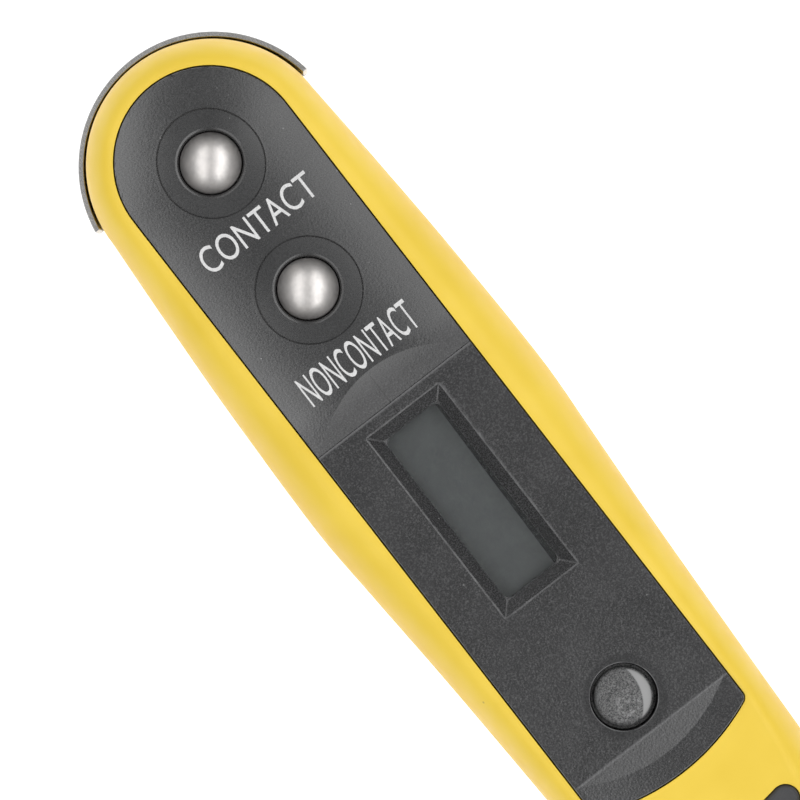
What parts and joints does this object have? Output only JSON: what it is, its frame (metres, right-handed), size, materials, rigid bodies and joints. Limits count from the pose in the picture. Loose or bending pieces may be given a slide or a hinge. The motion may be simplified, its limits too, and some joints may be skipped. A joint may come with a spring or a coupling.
{
  "type": "voltage tester pen",
  "caption": "Slim yellow voltage tester pen with a flat screwdriver blade, two domed metal buttons, a narrow liquid crystal window, an indicator lamp, rubber grip ribs and a steel pocket clip.",
  "frame": {"origin": "under the middle of the pen's length and width, on the surface it lies on, face up", "axes": "+Y along the pen to its rounded butt end, +X to the right of the face with the butt at the top, +Z out of the face"},
  "size_m": [0.0234, 0.139, 0.0143],
  "materials": {
    "yellow_casing": "satin, soft touch",
    "black_panel": "fine spark texture",
    "grip_rubber": "matt",
    "button_steel": "satin, fingerprint haze",
    "clip_steel": "satin plated",
    "blade_steel": "satin plated",
    "spring_wire": "bright",
    "contact_brass": "bright",
    "screw_steel": "zinc plated",
    "clear_window": "clear, lightly scratched",
    "lamp_clear": "clear resin",
    "crystal_cell": "dark glass",
    "polariser": "grey film",
    "frame_white": "satin",
    "contact_rubber": "matt",
    "board_laminate": "green mask",
    "chip_resin": "glossy",
    "resistor_coat": "lacquer with coloured bands",
    "part_ceramic": "ceramic",
    "part_black": "moulded",
    "lead_steel": "tinned",
    "collar_plastic": "satin",
    "blade_sleeve": "satin heat shrink"
  },
  "bodies": {
    "housing": {"front_shell": "yellow_casing", "rear_shell": "yellow_casing", "face_panel": "black_panel", "front_grip_rib_1": "grip_rubber", "front_grip_rib_2": "grip_rubber", "front_grip_rib_3": "grip_rubber", "front_grip_rib_4": "grip_rubber", "rear_grip_rib_1": "grip_rubber", "rear_grip_rib_2": "grip_rubber", "rear_grip_rib_3": "grip_rubber", "rear_grip_rib_4": "grip_rubber", "nose_collar": "collar_plastic", "direct_spring": "spring_wire", "sensing_spring": "spring_wire", "display_window": "clear_window", "display_polariser": "polariser", "lcd_cell": "crystal_cell", "zebra_strip_left": "contact_rubber", "zebra_strip_right": "contact_rubber", "display_frame": "frame_white", "lamp_lens": "lamp_clear", "lamp_lead_cup": "lead_steel", "lamp_lead_post": "lead_steel", "circuit_board": "board_laminate", "chip_blob": "chip_resin", "safety_resistor": "resistor_coat", "filter_capacitor": "part_ceramic", "bias_resistor": "part_black", "lamp_resistor": "part_black", "clamp_diode": "part_black", "probe_contact_tab": "contact_brass", "probe_spring": "spring_wire", "probe_blade": "blade_steel", "blade_sleeve": "blade_sleeve", "clip_collar": "clip_steel", "upper_screw": "screw_steel", "lower_screw": "screw_steel"},
    "direct_button": {"direct_button": "button_steel"},
    "sensing_button": {"sensing_button": "button_steel"},
    "clip_arm": {"clip_arm": "clip_steel"}
  },
  "joints": [
    {"name": "direct_press", "type": "slide", "parent": "housing", "child": "direct_button", "axis": [0, 0, -1], "range_m": [0, 0.0008], "stiffness_N_per_m": 300, "springref_m": -0.0005, "deforming": ["direct_spring"]},
    {"name": "sensing_press", "type": "slide", "parent": "housing", "child": "sensing_button", "axis": [0, 0, -1], "range_m": [0, 0.0008], "stiffness_N_per_m": 300, "springref_m": -0.0005, "deforming": ["sensing_spring"]},
    {"name": "clip_flex", "type": "hinge", "parent": "housing", "child": "clip_arm", "pos_m": [0, 0.0458, 0.00022], "axis": [1, 0, 0], "range_deg": [0, 5], "stiffness_Nm_per_rad": 2, "springref_deg": -2.86}
  ]
}
